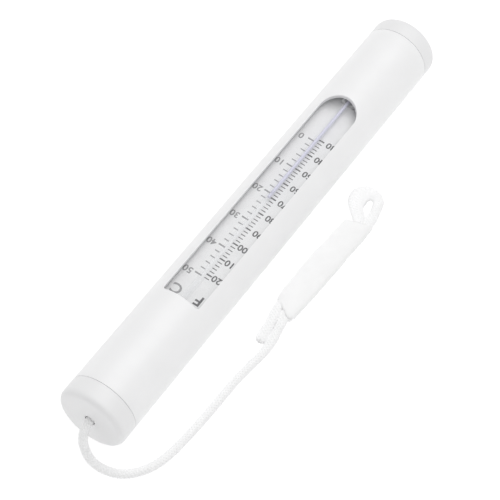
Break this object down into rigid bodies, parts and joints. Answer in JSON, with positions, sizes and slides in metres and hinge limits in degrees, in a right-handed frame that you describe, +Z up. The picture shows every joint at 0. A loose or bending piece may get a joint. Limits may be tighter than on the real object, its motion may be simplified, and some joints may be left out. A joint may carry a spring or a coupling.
{
  "type": "floating pool thermometer",
  "caption": "Slim white floating tube with a window over a printed Fahrenheit and Celsius scale, push-in end caps and a tie cord that ends in a sleeved eye.",
  "frame": {"origin": "on the surface the thermometer lies on, under the middle of the tube", "axes": "+X along the tube from the cord end to the bulb end, +Z up, with the window facing up"},
  "size_m": [0.2031, 0.0438, 0.025],
  "materials": {
    "white_casing": "smooth moulded",
    "clear_plastic": "polished clear plastic",
    "inner_plastic": "moulded",
    "seal_rubber": "matte",
    "printed_plate": "satin sheet with a printed scale",
    "glass": "drawn glass",
    "blue_spirit": "coloured liquid",
    "ballast_steel": "plain",
    "cord_braid": "braided",
    "washer_steel": "bright",
    "white_sleeve": "soft satin tube"
  },
  "bodies": {
    "casing": {"casing_tube": "white_casing", "clear_liner": "clear_plastic", "cord_end_plug": "inner_plastic", "bulb_end_plug": "inner_plastic", "cord_end_seal_ring": "seal_rubber", "bulb_end_seal_ring": "seal_rubber", "scale_plate": "printed_plate", "cord_end_holder": "inner_plastic", "bulb_end_holder": "inner_plastic", "glass_stem": "glass", "spirit_bulb_fill": "blue_spirit", "spirit_column": "blue_spirit", "ballast_slug": "ballast_steel"},
    "cord_cap": {"cord_end_cap": "white_casing", "cord_washer": "washer_steel", "cord_stop_knot": "cord_braid", "cord": "cord_braid", "loop_sleeve": "white_sleeve"},
    "bulb_cap": {"bulb_end_cap": "white_casing"},
    "meniscus": {"spirit_meniscus": "blue_spirit"}
  },
  "joints": [
    {"name": "cord_cap_pull", "type": "slide", "parent": "casing", "child": "cord_cap", "axis": [-1, 0, 0], "range_m": [0, 0.012]},
    {"name": "bulb_cap_pull", "type": "slide", "parent": "casing", "child": "bulb_cap", "axis": [1, 0, 0], "range_m": [0, 0.012]},
    {"name": "reading", "type": "slide", "parent": "casing", "child": "meniscus", "axis": [-1, 0, 0], "range_m": [-0.0324, 0.037], "deforming": ["spirit_column"]}
  ]
}
